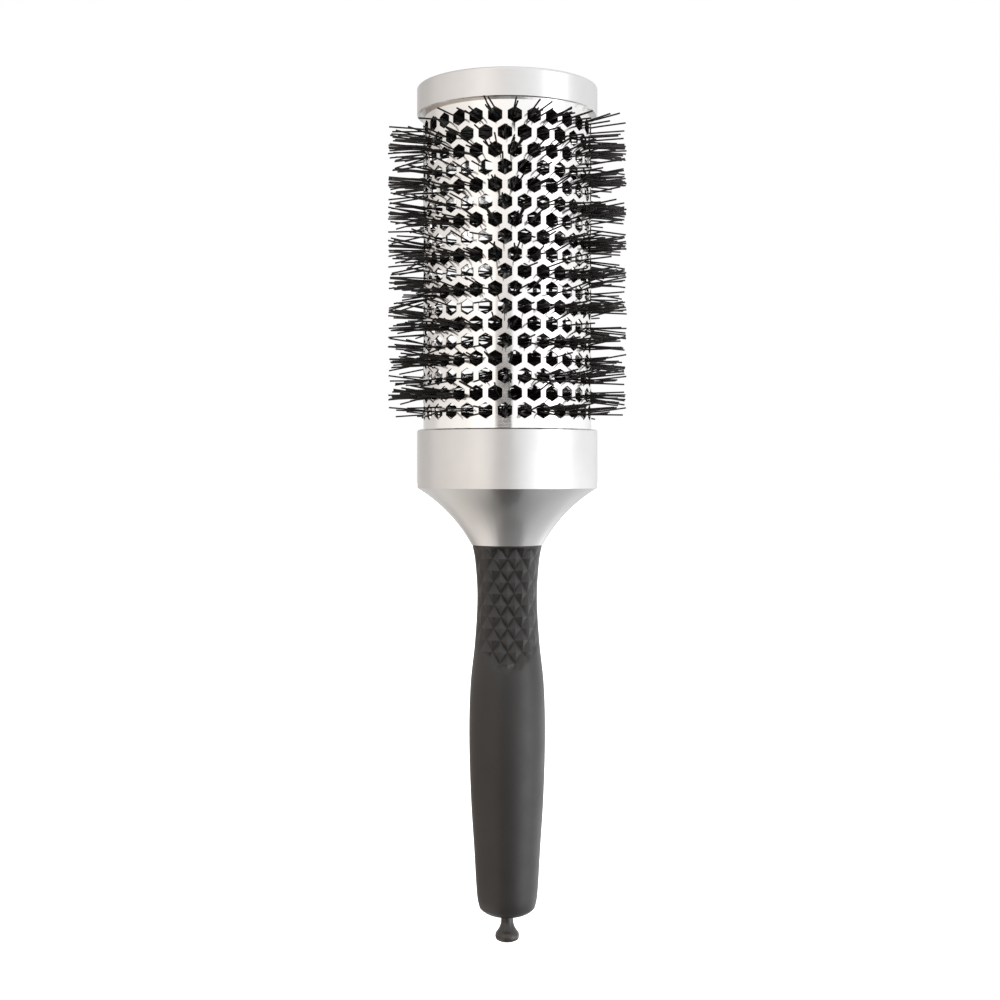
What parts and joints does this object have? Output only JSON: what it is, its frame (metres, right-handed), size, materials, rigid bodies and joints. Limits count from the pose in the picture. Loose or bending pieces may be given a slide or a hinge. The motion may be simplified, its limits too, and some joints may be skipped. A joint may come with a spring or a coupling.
{
  "type": "round barrel brush",
  "caption": "Round hairbrush with a vented aluminium barrel, radial nylon bristles, silver trim, a soft-touch handle and a steel sectioning pin that pulls out of its end.",
  "frame": {"origin": "on the brush's axis at the lowest point of the pin's knob, at the handle's end", "axes": "+Z along the brush from the pin's knob to the barrel's tip; -Y is the front, +X to its right"},
  "size_m": [0.0728, 0.0728, 0.2606],
  "materials": {
    "silver_trim": "satin silver lacquer over moulded plastic",
    "barrel_aluminium": "bright brushed aluminium",
    "hub_plastic": "black heat-resistant plastic",
    "core_steel": "galvanised wire",
    "bristle_nylon": "black nylon filament",
    "handle_plastic": "dark moulded plastic",
    "grip_rubber": "soft-touch dark grey rubber with facets at the finger grip",
    "plug_plastic": "dark grey moulded plastic",
    "knob_plastic": "semi-gloss dark grey plastic",
    "pin_steel": "polished steel",
    "seal_rubber": "black rubber"
  },
  "bodies": {
    "brush": {"tip_cap": "silver_trim", "tip_vent_disc": "hub_plastic", "barrel_tube": "barrel_aluminium", "barrel_hub": "hub_plastic", "shoulder_collar": "silver_trim", "core_wire_a": "core_steel", "core_wire_b": "core_steel", "handle_core": "handle_plastic", "handle_grip": "grip_rubber", "handle_end_plug": "plug_plastic", "bristle_row_01": "bristle_nylon", "bristle_row_02": "bristle_nylon", "bristle_row_03": "bristle_nylon", "bristle_row_04": "bristle_nylon", "bristle_row_05": "bristle_nylon", "bristle_row_06": "bristle_nylon", "bristle_row_07": "bristle_nylon", "bristle_row_08": "bristle_nylon", "bristle_row_09": "bristle_nylon", "bristle_row_10": "bristle_nylon", "bristle_row_11": "bristle_nylon", "bristle_row_12": "bristle_nylon", "bristle_row_13": "bristle_nylon", "bristle_row_14": "bristle_nylon", "bristle_row_15": "bristle_nylon", "bristle_row_16": "bristle_nylon", "bristle_row_17": "bristle_nylon", "bristle_row_18": "bristle_nylon"},
    "pin": {"pin_knob": "knob_plastic", "pin_shaft": "pin_steel", "pin_friction_ring": "seal_rubber"}
  },
  "joints": [
    {"name": "pin_slide", "type": "slide", "parent": "brush", "child": "pin", "axis": [0, 0, -1], "range_m": [0, 0.092]}
  ]
}
